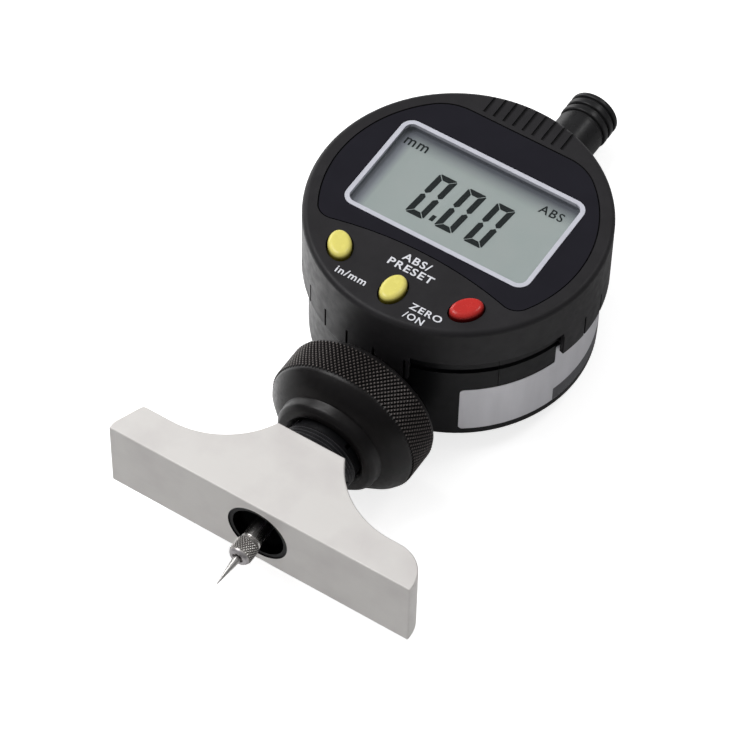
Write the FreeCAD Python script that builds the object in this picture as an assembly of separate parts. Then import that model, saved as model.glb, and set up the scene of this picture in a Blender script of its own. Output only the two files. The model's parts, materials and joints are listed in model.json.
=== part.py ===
# Digital depth gauge: a flat steel depth base, a knurled clamp nut on a split collar, and a digital indicator
# whose display head turns on its housing. Millimetres.
# Every piece is drawn in the gauge's own frame: the origin is the middle of the base's measuring face, +X
# runs along the base, +Y runs up the spindle to the top cap and +Z points out of the display. The last
# section lays the gauge down as it rests, on the clamp nut's rear edge and the back cover's far rim.
import FreeCAD, Part
import math
import os

os.makedirs("parts", exist_ok=True)

# Clearances
push_clearance = 0.1
moving_clearance = 0.3
running_clearance = 0.05
thread_clearance = 0.1

# Depth base
base_length = 63.5
base_thickness = 16.0
bar_height = 7.4
right_corner_radius = 6.5
left_corner_radius = 1.0
left_end_lean = 2.4
left_end_upright = 1.6
base_edge_radius = 0.3
shoulder_land = 8.55
neck_width = 14.3
neck_top = 17.5
base_bore_radius = 6.1
base_bore_chamfer = 0.2

# Split collar and clamp nut
collar_recess = 0.2
collar_mouth_radius = 5.4
collar_thread_radius = 7.3
collar_end = 32.6
collar_taper_length = 2.4
collar_tip_radius = 5.2
collar_slot_count = 4
collar_slot_width = 1.0
collar_slot_start = 21.0
nut_front = 21.5
nut_boss_radius = 10.6
nut_boss_chamfer = 0.9
nut_boss_end = 24.2
nut_cone_foot_radius = 12.6
nut_cone_foot = 25.1
nut_knurl_start = 27.3
nut_rear = 35.3
nut_radius = 15.3
nut_edge_radius = 0.8
nut_mouth_radius = 8.2
nut_mouth_depth = 0.6
nut_rear_wall = 1.4

# Stem, spindle and contact
stem_radius = 4.0
stem_bore_radius = 2.6
stem_travel_gap = 0.8
bush_length = 8.0
spindle_radius = 2.0
spindle_start = -2.3
spindle_above_boss = 7.2
travel = 12.7
holder_radius = 2.4
holder_front = -6.8
holder_chamfer = 0.5
holder_shank_radius = 1.2
holder_shank_length = 4.0
needle_radius = 0.75
needle_tip_radius = 0.12
needle_tip = -12.7
needle_grip = 3.0
needle_well_radius = 1.1
needle_well_depth = 0.5

# Housing
nut_to_bezel_gap = 2.4
housing_radius = 27.2
housing_wall = 1.8
back_z = -9.1
cover_thickness = 1.65
housing_top_z = 14.4
boss_from_rim = 3.6
boss_radius = 2.3
boss_top_z = 5.0
boss_count = 4
boss_first_angle = 45.0
screw_hole_spare = 1.0
stem_boss_radius = 6.2
stem_boss_length = 1.8
top_boss_radius = 5.4
top_boss_length = 0.9
cover_edge_radius = 0.6
cover_spigot_height = 1.2
cover_spigot_wall = 1.3
cover_spigot_gap = 1.0

# Screws
screw_shank_radius = 0.9
screw_head_radius = 1.9
screw_head_height = 1.0
screw_length = 8.0
screw_slot_width = 0.5
screw_slot_depth = 0.45
screw_sink = 0.1
board_screw_head_height = 0.7

# Battery
battery_offset_y = -3.0
cell_share_of_room = 0.2843
cell_height = 5.4
cell_holder_wall = 0.7
cap_over_cell = 1.1
holder_lip = 0.9
holder_to_frame_gap = 0.2
coin_slot_width = 1.4
coin_slot_length = 9.0
coin_slot_depth = 0.7
contact_strip_width = 4.0
contact_strip_thickness = 0.3
contact_strip_leg = 3.0

# Measuring frame, its carrier and the sensor
frame_half_width = 5.0
frame_wing = 4.6
frame_plate_thickness = 1.85
frame_ear_thickness = 5.4
frame_gap_to_wall = 0.2
frame_screw_x = 0.0
frame_screw_from_ear = 3.5
ear_top_z = 5.3
upper_bush_radius = 3.4
upper_bush_above_boss = 5.2
upper_bush_relief_depth = 7.5
rail_radius = 1.2
rail_x = -7.3
rail_end_inset = 3.0
carrier_arm_margin = 1.0
carrier_arm_inset = 1.5
carrier_half_width = 4.2
carrier_below_dial = 9.2
carrier_length = 9.0
carrier_low_z = -4.4
carrier_high_z = 4.2
carrier_arm_half_height = 2.2
scale_half_width = 3.8
scale_overhang = 4.5
scale_end_gap = 0.8
scale_thickness = 0.8
sensor_board_half_width = 9.0
sensor_board_thickness = 1.4
sensor_board_margin = 2.4
spring_mean_radius = 2.95
spring_wire_radius = 0.3
spring_turns = 7
spring_bends_per_turn = 12
spring_wire_sides = 6
mitred_corners = 1

# Top cap
cap_length = 23.6
cap_radius = 5.1
cap_neck_radius = 4.85
cap_ring_count = 3
cap_ring_width = 1.3
cap_groove_width = 0.6
cap_groove_depth = 0.5
cap_end_radius = 0.7
cap_end_wall = 1.8
cap_bore_radius = 3.1
cap_bush_gap = 1.0
cap_edge_radius = 0.3

# Data port, label and snap groove on the housing's side
port_angle = -29.0
port_half_angle = 12.6
port_low_z = 4.8
port_high_z = 12.9
connector_depth = 2.9
connector_half_angle = 9.0
connector_margin = 1.5
label_thickness = 0.14
label_proud = 0.02
label_start_angle = -56.4
label_step_angle = -16.4
label_end_angle = 38.0
label_low_z = -7.2
label_high_z = 4.5
label_step_z = 8.9
label_corner_radius = 0.9
snap_groove_low_z = 9.6
snap_groove_high_z = 10.8
snap_groove_depth = 0.6
snap_overlap = 0.4
friction_ring_inset = 0.2

# Display head
bezel_over_housing = 1.3
bezel_wall = 1.0
skirt_low_z = 7.6
skirt_edge_radius = 0.25
face_z = 23.0
face_plate = 2.4
face_edge_radius = 1.1
head_wall = 1.9
shoulder_gap = 0.4
slit_count = 29
slit_width = 0.5
slit_height = 5.3
window_start_angle = -76.0
window_end_angle = -15.5
window_top_z = 13.9
rib_count = 9
rib_pitch = 2.08
rib_width = 0.7
rib_depth = 0.55
rib_length = 6.1

# Front panel and display window, from the dial's centre
face_ring_width = 2.8
panel_groove = 0.25
panel_thickness = 0.85
panel_top_cut = 4.2
button_zone = 13.5
panel_arch_radius = 72.0
panel_low_corner_radius = 3.5
panel_high_corner_radius = 10.0
panel_sink = 0.05
display_side_land = 6.1
display_low_land = 2.6
display_high_land = 7.7
display_corner_radius = 2.5
display_frame_band = 0.9
display_frame_sink = 0.15
display_frame_low_z = 21.2
pane_thickness = 0.7
pane_sink = 0.5
lcd_margin = 0.3
lcd_thickness = 1.4
zebra_width = 2.0
zebra_inset = 2.4
zebra_margin = 0.4

# Buttons, from the dial's centre
side_button_from_rim = 5.25
side_button_angle = 35.2
middle_button_from_rim = 6.3
side_button_lean = 36.0
button_width = 4.5
button_length = 6.5
button_proud = 1.25
button_gap = 0.3
button_travel = 0.6
button_flange = 0.5
button_flange_height = 1.1
button_dome_radius = 1.0

# Boards in the head
board_to_wall_gap = 0.8
main_board_thickness = 1.2
main_board_low_z = 15.6
post_count = 3
post_from_board_edge = 1.8
post_radius = 1.7
post_first_angle = 18.0
post_last_angle = 162.0
board_screw_end_gap = 1.5
post_hole_end_gap = 0.5
mat_thickness = 0.9
mat_dome_radius = 1.5
mat_side_margin = 4.6
mat_low_margin = 2.4
mat_high_margin = 6.0
mat_edge_gap = 0.6

# Radii that follow the housing
bezel_radius = housing_radius + bezel_over_housing
skirt_bore_radius = bezel_radius - bezel_wall
head_wall_radius = bezel_radius - head_wall
housing_bore_radius = housing_radius - housing_wall
boss_ring_radius = housing_radius - boss_from_rim
panel_radius = bezel_radius - face_ring_width
main_board_radius = head_wall_radius - board_to_wall_gap
post_ring_radius = main_board_radius - post_from_board_edge

# Places along the spindle
flank_foot = base_length / 2 - shoulder_land
dial_y = nut_rear + nut_to_bezel_gap + bezel_radius
top_boss_end = dial_y + housing_radius + top_boss_length
cap_end = top_boss_end + cap_length
upper_bush_end = top_boss_end + upper_bush_above_boss
upper_bush_relief = upper_bush_end - upper_bush_relief_depth
spindle_end = top_boss_end + spindle_above_boss
stem_start = spindle_start + travel + stem_travel_gap
frame_start_y = dial_y - housing_bore_radius + frame_gap_to_wall
frame_end_y = dial_y + housing_bore_radius - frame_gap_to_wall
upper_ear_y = frame_end_y - frame_ear_thickness
carrier_start = dial_y - carrier_below_dial
carrier_end = carrier_start + carrier_length
scale_start = carrier_start - scale_overhang
scale_end = upper_ear_y - travel - scale_end_gap

# Heights above and below the spindle's axis
cover_seam_z = back_z + cover_thickness
cell_high_z = cover_seam_z + cell_height
shoulder_z = housing_top_z + shoulder_gap
plate_low_z = face_z - face_plate
panel_top_z = face_z - panel_sink
panel_low_z = panel_top_z - panel_thickness
lcd_low_z = display_frame_low_z - lcd_thickness
main_board_high_z = main_board_low_z + main_board_thickness
button_top_z = face_z + button_proud

# The battery, in the room between the measuring frame and the wall
cell_radius = (housing_bore_radius - frame_half_width) * cell_share_of_room
battery_cap_radius = cell_radius + cap_over_cell
holder_lip_radius = battery_cap_radius + holder_lip
battery_x = frame_half_width + holder_to_frame_gap + holder_lip_radius
battery_y = dial_y + battery_offset_y

# The face, from the dial's centre
panel_top_y = panel_radius - panel_top_cut
panel_low_y = button_zone - panel_radius
display_half_width = panel_radius - display_side_land
display_low_y = panel_low_y + display_low_land
display_high_y = panel_top_y - display_high_land
rib_start_y = bezel_radius - rib_length
side_button_x = (bezel_radius - side_button_from_rim) * math.sin(math.radians(side_button_angle))
side_button_y = (side_button_from_rim - bezel_radius) * math.cos(math.radians(side_button_angle))
middle_button_y = middle_button_from_rim - bezel_radius

X = FreeCAD.Vector(1, 0, 0)
Y = FreeCAD.Vector(0, 1, 0)
Z = FreeCAD.Vector(0, 0, 1)
dial_centre = FreeCAD.Vector(0, dial_y, 0)


# Basic forms
def rod(radius, y_start, y_end, x=0.0, z=0.0):
    """A round bar along the spindle."""
    return Part.makeCylinder(radius, y_end - y_start, FreeCAD.Vector(x, y_start, z), Y)


def disc(radius, z_low, z_high, x=0.0, y=dial_y):
    """A round plate facing the display."""
    return Part.makeCylinder(radius, z_high - z_low, FreeCAD.Vector(x, y, z_low), Z)


def block(x_low, x_high, y_low, y_high, z_low, z_high):
    """A rectangular block between two corners."""
    return Part.makeBox(x_high - x_low, y_high - y_low, z_high - z_low, FreeCAD.Vector(x_low, y_low, z_low))


def polar(radius, angle, z=0.0):
    """A point at an angle round the dial's centre."""
    turn = math.radians(angle)
    return FreeCAD.Vector(radius * math.cos(turn), dial_y + radius * math.sin(turn), z)


def rounded_wire(corners, place):
    """A closed outline. A corner is (u, v) or (u, v, radius), and place turns u and v into a point."""
    count = len(corners)
    spans = []
    for index, corner in enumerate(corners):
        here = FreeCAD.Vector(corner[0], corner[1], 0)
        radius = corner[2] if len(corner) > 2 else 0.0
        if radius == 0.0:
            spans.append((here, here, here))
            continue
        before = FreeCAD.Vector(corners[index - 1][0], corners[index - 1][1], 0)
        after = FreeCAD.Vector(corners[(index + 1) % count][0], corners[(index + 1) % count][1], 0)
        to_before = (before - here).normalize()
        to_after = (after - here).normalize()
        half_angle = to_before.getAngle(to_after) / 2
        reach = radius / math.tan(half_angle)
        inward = (to_before + to_after).normalize()
        middle = here + inward * (radius / math.sin(half_angle) - radius)
        spans.append((here + to_before * reach, middle, here + to_after * reach))
    edges = []
    for index, (start, middle, end) in enumerate(spans):
        if (end - start).Length > 0:
            arc = Part.Arc(place(start.x, start.y), place(middle.x, middle.y), place(end.x, end.y))
            edges.append(arc.toShape())
        next_start = spans[(index + 1) % count][0]
        if (next_start - end).Length > 1e-6:
            edges.append(Part.LineSegment(place(end.x, end.y), place(next_start.x, next_start.y)).toShape())
    return Part.Wire(edges)


def turned_on_spindle(corners):
    """A body of revolution about the spindle's axis, from corners (radius, y)."""
    face = Part.Face(rounded_wire(corners, lambda radius, y: FreeCAD.Vector(radius, y, 0)))
    return face.revolve(FreeCAD.Vector(0, 0, 0), Y, 360)


def turned_on_dial(corners):
    """A body of revolution about the dial's axis, from corners (radius, z)."""
    face = Part.Face(rounded_wire(corners, lambda radius, z: FreeCAD.Vector(radius, dial_y, z)))
    return face.revolve(dial_centre, Z, 360)


def dial_sector(radius_low, radius_high, z_low, z_high, angle_start, angle_end):
    """Part of a ring about the dial's axis, between two angles."""
    corners = [(radius_low, z_low), (radius_high, z_low), (radius_high, z_high), (radius_low, z_high)]
    face = Part.Face(rounded_wire(corners, lambda radius, z: polar(radius, angle_start, z)))
    return face.revolve(dial_centre, Z, angle_end - angle_start)


def plate(corners, z_low, z_high):
    """A flat plate facing the display, from corners (x, y) measured from the dial's centre."""
    face = Part.Face(rounded_wire(corners, lambda x, y: FreeCAD.Vector(x, dial_y + y, z_low)))
    return face.extrude(Z * (z_high - z_low))


def display_plate(inset, z_low, z_high):
    """A plate with the display frame's rounded outline, smaller all round by inset."""
    half_width = display_half_width - inset
    low = display_low_y + inset
    high = display_high_y - inset
    radius = max(display_corner_radius - inset, 0.3)
    return plate([(half_width, low, radius), (half_width, high, radius),
                  (-half_width, high, radius), (-half_width, low, radius)], z_low, z_high)


def oval(centre_x, centre_y, lean, growth, z_low, z_high):
    """An elliptical prism with the buttons' outline, larger all round by growth."""
    centre = FreeCAD.Vector(centre_x, dial_y + centre_y, z_low)
    half_length = button_length / 2 + growth
    half_width = button_width / 2 + growth
    turn = math.radians(lean)
    long_way = FreeCAD.Vector(math.sin(turn), math.cos(turn), 0)
    short_way = FreeCAD.Vector(math.cos(turn), -math.sin(turn), 0)
    curve = Part.Ellipse(centre + long_way * half_length, centre + short_way * half_width, centre)
    return Part.Face(Part.Wire(curve.toShape())).extrude(Z * (z_high - z_low))


def fused(shapes):
    """Several shapes joined into one solid."""
    return shapes[0].multiFuse(shapes[1:]).removeSplitter()


# Depth base and clamp
def depth_base():
    half = base_length / 2
    neck = neck_width / 2
    rise = neck_top - bar_height
    run = flank_foot - neck
    flank_radius = (run ** 2 + rise ** 2) / (2 * rise)
    sweep = math.asin(run / flank_radius)
    middle_x = flank_foot - flank_radius * math.sin(sweep / 2)
    middle_y = bar_height + flank_radius * (1 - math.cos(sweep / 2))
    bar_corners = [
        (half, 0),
        (half, bar_height, right_corner_radius),
        (-half + left_end_lean, bar_height, left_corner_radius),
        (-half, left_end_upright, left_end_upright),
        (-half, 0),
    ]
    low_z = -base_thickness / 2
    bar_wire = rounded_wire(bar_corners, lambda x, y: FreeCAD.Vector(x, y, low_z))
    bar = Part.Face(bar_wire).extrude(Z * base_thickness)
    flanks = []
    for side in (1, -1):
        flanks.append(Part.Arc(FreeCAD.Vector(side * flank_foot, bar_height, low_z),
                               FreeCAD.Vector(side * middle_x, middle_y, low_z),
                               FreeCAD.Vector(side * neck, neck_top, low_z)).toShape())
    top = Part.LineSegment(FreeCAD.Vector(neck, neck_top, low_z),
                           FreeCAD.Vector(-neck, neck_top, low_z)).toShape()
    foot = Part.LineSegment(FreeCAD.Vector(-flank_foot, bar_height, low_z),
                            FreeCAD.Vector(flank_foot, bar_height, low_z)).toShape()
    saddle = Part.Face(Part.Wire([flanks[0], top, flanks[1], foot])).extrude(Z * base_thickness)
    body = fused([bar, saddle])
    face_edges = [edge for edge in body.Edges
                  if all(abs(abs(v.Z) - base_thickness / 2) < 1e-6 for v in edge.Vertexes)]
    body = body.makeFillet(base_edge_radius, face_edges)
    bore = rod(base_bore_radius, -1, neck_top + 1)
    mouth = Part.makeCone(base_bore_radius + base_bore_chamfer, base_bore_radius, base_bore_chamfer,
                          FreeCAD.Vector(0, 0, 0), Y)
    return body.cut(bore).cut(mouth)


def threaded_collar():
    flange_y = neck_top
    taper_y = collar_end - collar_taper_length
    body = turned_on_spindle([
        (collar_mouth_radius, collar_recess),
        (base_bore_radius, collar_recess),
        (base_bore_radius, flange_y),
        (collar_thread_radius, flange_y),
        (collar_thread_radius, taper_y),
        (collar_tip_radius, collar_end),
        (stem_radius, collar_end),
        (stem_radius, stem_start),
    ])
    for index in range(collar_slot_count):
        slot = block(0, collar_thread_radius + 1, collar_slot_start, collar_end + 1,
                     -collar_slot_width / 2, collar_slot_width / 2)
        slot.rotate(FreeCAD.Vector(0, 0, 0), Y, 45 + index * 360 / collar_slot_count)
        body = body.cut(slot)
    return body


def clamp_nut():
    thread_bore = collar_thread_radius + thread_clearance
    tip_bore = collar_tip_radius + thread_clearance
    stem_hole = stem_radius + moving_clearance
    rear_wall_y = nut_rear - nut_rear_wall
    cone_start = collar_end - collar_taper_length + moving_clearance
    return turned_on_spindle([
        (nut_mouth_radius, nut_front),
        (nut_boss_radius - nut_boss_chamfer, nut_front, 0.2),
        (nut_boss_radius, nut_front + nut_boss_chamfer, 0.4),
        (nut_boss_radius, nut_boss_end, 0.6),
        (nut_cone_foot_radius, nut_cone_foot, 0.5),
        (nut_radius, nut_knurl_start, 0.4),
        (nut_radius, nut_rear, nut_edge_radius),
        (stem_hole, nut_rear),
        (stem_hole, rear_wall_y),
        (tip_bore, rear_wall_y),
        (tip_bore, collar_end + moving_clearance),
        (thread_bore, cone_start),
        (thread_bore, nut_front + nut_mouth_depth),
    ])


# Stem, spindle and contact
def stem():
    tube_end = frame_start_y + frame_ear_thickness
    body = rod(stem_radius, stem_start, tube_end)
    return body.cut(rod(stem_bore_radius, stem_start - 1, tube_end + 1))


def lower_bush():
    body = rod(stem_bore_radius, stem_start, stem_start + bush_length)
    return body.cut(rod(spindle_radius + running_clearance, stem_start - 1, stem_start + bush_length + 1))


def spindle():
    body = turned_on_spindle([
        (0, spindle_start),
        (spindle_radius, spindle_start, 0.3),
        (spindle_radius, spindle_end, 0.6),
        (0, spindle_end),
    ])
    return body.cut(rod(holder_shank_radius, spindle_start - 1, spindle_start + holder_shank_length))


def contact_holder():
    body = turned_on_spindle([
        (0, holder_front),
        (holder_radius - holder_chamfer, holder_front),
        (holder_radius, holder_front + holder_chamfer, 0.2),
        (holder_radius, spindle_start - holder_chamfer, 0.2),
        (holder_radius - holder_chamfer, spindle_start),
        (holder_shank_radius, spindle_start),
        (holder_shank_radius, spindle_start + holder_shank_length),
        (0, spindle_start + holder_shank_length),
    ])
    well = rod(needle_well_radius, holder_front - 1, holder_front + needle_well_depth)
    return body.cut(well).cut(rod(needle_radius, holder_front - 1, holder_front + needle_grip))


def contact_needle():
    return turned_on_spindle([
        (0, needle_tip),
        (needle_tip_radius, needle_tip, needle_tip_radius / 2),
        (needle_radius, holder_front),
        (needle_radius, holder_front + needle_grip),
        (0, holder_front + needle_grip),
    ])


def spindle_carrier():
    body = block(-carrier_half_width, carrier_half_width, carrier_start, carrier_end,
                 carrier_low_z, carrier_high_z)
    arm = block(rail_x - rail_radius - carrier_arm_margin, 0, carrier_start + carrier_arm_inset,
                carrier_end - carrier_arm_inset,
                -carrier_arm_half_height, carrier_arm_half_height)
    body = fused([body, arm])
    body = body.cut(rod(rail_radius + running_clearance, carrier_start - 1, carrier_end + 1, rail_x))
    return body.cut(rod(spindle_radius, carrier_start - 1, carrier_end + 1))


def scale_strip():
    return block(-scale_half_width, scale_half_width, scale_start, scale_end,
                 carrier_high_z, carrier_high_z + scale_thickness)


def return_spring():
    """A coil bent from short straight lengths of six-sided wire."""
    start_y = carrier_end + spring_wire_radius
    length = upper_ear_y - carrier_end - 2 * spring_wire_radius
    bend_count = spring_turns * spring_bends_per_turn
    points = []
    for bend in range(bend_count + 1):
        turn = 2 * math.pi * bend / spring_bends_per_turn
        points.append(FreeCAD.Vector(spring_mean_radius * math.cos(turn),
                                     start_y + length * bend / bend_count,
                                     -spring_mean_radius * math.sin(turn)))
    along = (points[1] - points[0]).normalize()
    outward = (X - along * along.dot(X)).normalize()
    corners = []
    for side in range(spring_wire_sides + 1):
        turn = 2 * math.pi * side / spring_wire_sides
        corners.append(points[0] + (outward * math.cos(turn)
                                    + along.cross(outward) * math.sin(turn)) * spring_wire_radius)
    return Part.makePolygon(points).makePipeShell([Part.makePolygon(corners)], True, False, mitred_corners)


# Housing and what it holds
def boss_angles():
    return [boss_first_angle + index * 360 / boss_count for index in range(boss_count)]


def snap_groove():
    floor_radius = housing_radius - snap_groove_depth
    return turned_on_dial([
        (floor_radius, snap_groove_low_z),
        (bezel_radius, snap_groove_low_z),
        (bezel_radius, snap_groove_high_z),
        (floor_radius, snap_groove_high_z),
    ])


def label_shape(growth, radius_low, radius_high):
    """The label's stepped outline round the housing, larger all round by growth."""
    side = math.degrees(growth / housing_radius)
    low_part = dial_sector(radius_low, radius_high, label_low_z - growth, label_high_z + growth,
                           label_start_angle - side, label_end_angle + side)
    high_part = dial_sector(radius_low, radius_high, label_low_z - growth, label_step_z + growth,
                            label_step_angle - side, label_end_angle + side)
    body = fused([low_part, high_part])
    low_z = label_low_z - growth
    ends = [polar(radius_high, label_start_angle - side, low_z),
            polar(radius_high, label_start_angle - side, label_high_z + growth),
            polar(radius_high, label_end_angle + side, low_z),
            polar(radius_high, label_end_angle + side, label_step_z + growth)]
    corner_edges = []
    for edge in body.Edges:
        at_end = any(end.distanceToPoint(vertex.Point) < 1e-6 for end in ends for vertex in edge.Vertexes)
        if at_end and abs(edge.Length - (radius_high - radius_low)) < 1e-6:
            corner_edges.append(edge)
    return body.makeFillet(label_corner_radius + growth, corner_edges)


def port_shape(growth):
    """The data port's plug, larger all round by growth."""
    side = math.degrees(growth / housing_radius)
    return dial_sector(housing_bore_radius, housing_radius, port_low_z - growth, port_high_z + growth,
                       port_angle - port_half_angle - side, port_angle + port_half_angle + side)


def main_housing():
    wall = disc(housing_radius, cover_seam_z, housing_top_z)
    low_boss = rod(stem_boss_radius, dial_y - housing_radius - stem_boss_length, dial_y - housing_bore_radius)
    high_boss = rod(top_boss_radius, dial_y + housing_bore_radius - housing_wall, top_boss_end)
    body = fused([wall, low_boss, high_boss])
    body = body.cut(disc(housing_bore_radius, cover_seam_z - 1, housing_top_z + 1))
    bosses = []
    for angle in boss_angles():
        place = polar(boss_ring_radius, angle)
        bosses.append(disc(boss_radius, cover_seam_z, boss_top_z, place.x, place.y))
    inside = disc(housing_radius - housing_wall / 2, cover_seam_z, boss_top_z)
    body = fused([body] + [boss.common(inside) for boss in bosses])
    for angle in boss_angles():
        place = polar(boss_ring_radius, angle)
        body = body.cut(disc(screw_shank_radius, cover_seam_z - 1, back_z + screw_length + screw_hole_spare,
                             place.x, place.y))
    body = body.cut(rod(stem_radius, dial_y - housing_radius - stem_boss_length - 1, dial_y))
    body = body.cut(rod(upper_bush_radius, dial_y, top_boss_end + 1))
    body = body.cut(snap_groove())
    body = body.cut(port_shape(push_clearance))
    label_floor = housing_radius + label_proud - label_thickness
    return body.cut(label_shape(push_clearance, label_floor, housing_radius + 1))


def back_cover():
    outside = turned_on_dial([
        (0, back_z),
        (housing_radius, back_z, cover_edge_radius),
        (housing_radius, cover_seam_z),
        (0, cover_seam_z),
    ])
    spigot_radius = housing_bore_radius - push_clearance
    spigot = disc(spigot_radius, cover_seam_z - 0.5, cover_seam_z + cover_spigot_height)
    spigot = spigot.cut(disc(spigot_radius - cover_spigot_wall, cover_seam_z - 1,
                             cover_seam_z + cover_spigot_height + 1))
    gap_half = frame_half_width + frame_wing + cover_spigot_gap
    spigot = spigot.cut(block(-gap_half, gap_half, frame_start_y - 5, frame_end_y + 5,
                              cover_seam_z, housing_top_z))
    for angle in boss_angles():
        place = polar(boss_ring_radius, angle)
        spigot = spigot.cut(disc(boss_radius + moving_clearance, cover_seam_z, housing_top_z,
                                 place.x, place.y))
    body = fused([outside, spigot])
    body = body.cut(disc(battery_cap_radius + push_clearance, back_z - 1, cover_seam_z + 1,
                         battery_x, battery_y))
    head_floor_z = back_z + screw_sink + screw_head_height
    for angle in boss_angles():
        place = polar(boss_ring_radius, angle)
        body = body.cut(disc(screw_shank_radius, back_z - 1, cover_seam_z + 1, place.x, place.y))
        body = body.cut(disc(screw_head_radius + push_clearance, back_z - 1, head_floor_z, place.x, place.y))
    return body


def cross_recess(x, y, z_low, z_high):
    """Two crossed slots for a screw head."""
    half_width = screw_slot_width / 2
    half_length = screw_head_radius * 0.65
    across = block(x - half_length, x + half_length, y - half_width, y + half_width, z_low, z_high)
    along = block(x - half_width, x + half_width, y - half_length, y + half_length, z_low, z_high)
    return fused([across, along])


def back_cover_screws():
    screws = []
    head_z = back_z + screw_sink
    for angle in boss_angles():
        place = polar(boss_ring_radius, angle)
        head = disc(screw_head_radius, head_z, head_z + screw_head_height, place.x, place.y)
        shank = disc(screw_shank_radius, head_z, back_z + screw_length, place.x, place.y)
        screw = fused([head, shank])
        screws.append(screw.cut(cross_recess(place.x, place.y, head_z - 1, head_z + screw_slot_depth)))
    return Part.makeCompound(screws)


def battery_cap():
    face_low_z = back_z + screw_sink
    body = disc(battery_cap_radius, face_low_z, cover_seam_z, battery_x, battery_y)
    half = coin_slot_length / 2
    slot = block(battery_x - half, battery_x + half, battery_y - coin_slot_width / 2,
                 battery_y + coin_slot_width / 2, face_low_z - 1, face_low_z + coin_slot_depth)
    return body.cut(slot)


def battery_cell():
    return disc(cell_radius, cover_seam_z, cell_high_z, battery_x, battery_y)


def battery_holder():
    outer = cell_radius + push_clearance + cell_holder_wall
    body = disc(holder_lip_radius, cover_seam_z, cover_seam_z + holder_lip, battery_x, battery_y)
    body = fused([body, disc(outer, cover_seam_z, cell_high_z, battery_x, battery_y)])
    return body.cut(disc(cell_radius + push_clearance, cover_seam_z - 1, cell_high_z + 1,
                         battery_x, battery_y))


def battery_contact():
    reach = cell_radius + push_clearance + cell_holder_wall
    half = contact_strip_width / 2
    strip = block(battery_x - reach, battery_x + reach, battery_y - half, battery_y + half,
                  cell_high_z, cell_high_z + contact_strip_thickness)
    leg = block(battery_x + reach, battery_x + reach + contact_strip_thickness,
                battery_y - half, battery_y + half,
                cell_high_z - contact_strip_leg, cell_high_z + contact_strip_thickness)
    return fused([strip, leg])


def measuring_frame():
    low_z = cover_seam_z
    left = -frame_half_width - frame_wing
    floor = block(left, frame_half_width, frame_start_y, frame_end_y, low_z, low_z + frame_plate_thickness)
    lower_ear = block(left, frame_half_width, frame_start_y, frame_start_y + frame_ear_thickness,
                      low_z, ear_top_z)
    upper_ear = block(left, frame_half_width, upper_ear_y, frame_end_y, low_z, ear_top_z)
    body = fused([floor, lower_ear, upper_ear])
    inside = disc(housing_bore_radius - frame_gap_to_wall, low_z, ear_top_z)
    body = body.common(inside)
    body = body.cut(rod(stem_radius, frame_start_y - 5, frame_start_y + frame_ear_thickness + 1))
    body = body.cut(rod(upper_bush_radius, upper_ear_y - 1, frame_end_y + 1))
    for y in frame_screw_places():
        body = body.cut(disc(screw_shank_radius, low_z - 1, low_z + frame_plate_thickness + 1,
                             frame_screw_x, y))
    return body.cut(rod(rail_radius, frame_start_y - 1, frame_end_y + 1, rail_x))


def frame_screw_places():
    return [frame_start_y + frame_ear_thickness + frame_screw_from_ear, upper_ear_y - frame_screw_from_ear]


def frame_screws():
    screws = []
    head_z = cover_seam_z + frame_plate_thickness
    for y in frame_screw_places():
        head = disc(screw_head_radius, head_z, head_z + screw_head_height, frame_screw_x, y)
        shank = disc(screw_shank_radius, cover_seam_z, head_z, frame_screw_x, y)
        screw = fused([head, shank])
        top_z = head_z + screw_head_height
        screws.append(screw.cut(cross_recess(frame_screw_x, y, top_z - screw_slot_depth, top_z + 1)))
    return Part.makeCompound(screws)


def guide_rail():
    return rod(rail_radius, frame_start_y + rail_end_inset, frame_end_y - rail_end_inset, rail_x)


def upper_bush():
    body = rod(upper_bush_radius, upper_ear_y, upper_bush_end)
    body = body.cut(rod(spindle_radius + running_clearance, upper_ear_y - 1, upper_bush_relief))
    return body.cut(rod(stem_bore_radius, upper_bush_relief, upper_bush_end + 1))


def sensor_board():
    body = block(-sensor_board_half_width, sensor_board_half_width, frame_start_y + sensor_board_margin,
                 frame_end_y - sensor_board_margin, ear_top_z, ear_top_z + sensor_board_thickness)
    return body


def top_cap():
    corners = [(0, cap_end), (cap_radius, cap_end, cap_end_radius)]
    y = cap_end - cap_ring_width
    for index in range(cap_ring_count):
        corners += [(cap_radius, y, cap_edge_radius), (cap_radius - cap_groove_depth, y),
                    (cap_radius - cap_groove_depth, y - cap_groove_width)]
        y -= cap_groove_width
        outer = cap_radius if index < cap_ring_count - 1 else cap_neck_radius
        corners.append((outer, y, cap_edge_radius))
        y -= cap_ring_width
    corners += [(cap_neck_radius, top_boss_end), (upper_bush_radius, top_boss_end),
                (upper_bush_radius, upper_bush_end + cap_bush_gap),
                (cap_bore_radius, upper_bush_end + cap_bush_gap),
                (cap_bore_radius, cap_end - cap_end_wall), (0, cap_end - cap_end_wall)]
    return turned_on_spindle(corners)


def port_cover():
    return port_shape(0.0).cut(snap_groove())


def data_connector():
    return dial_sector(housing_bore_radius - connector_depth, housing_bore_radius,
                       port_low_z + connector_margin, port_high_z - connector_margin,
                       port_angle - connector_half_angle, port_angle + connector_half_angle)


def side_label():
    low_radius = housing_radius + label_proud - label_thickness
    return label_shape(0.0, low_radius, housing_radius + label_proud)


def friction_ring():
    ring = disc(housing_radius - friction_ring_inset, housing_top_z, shoulder_z - running_clearance)
    return ring.cut(disc(housing_bore_radius, housing_top_z - 1, shoulder_z))


# Display head
def button_places():
    """Name, x, y and lean of each button, measured from the dial's centre."""
    return [
        ("button_units", -side_button_x, side_button_y, -side_button_lean),
        ("button_preset", 0.0, middle_button_y, 0.0),
        ("button_zero", side_button_x, side_button_y, side_button_lean),
    ]


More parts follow.
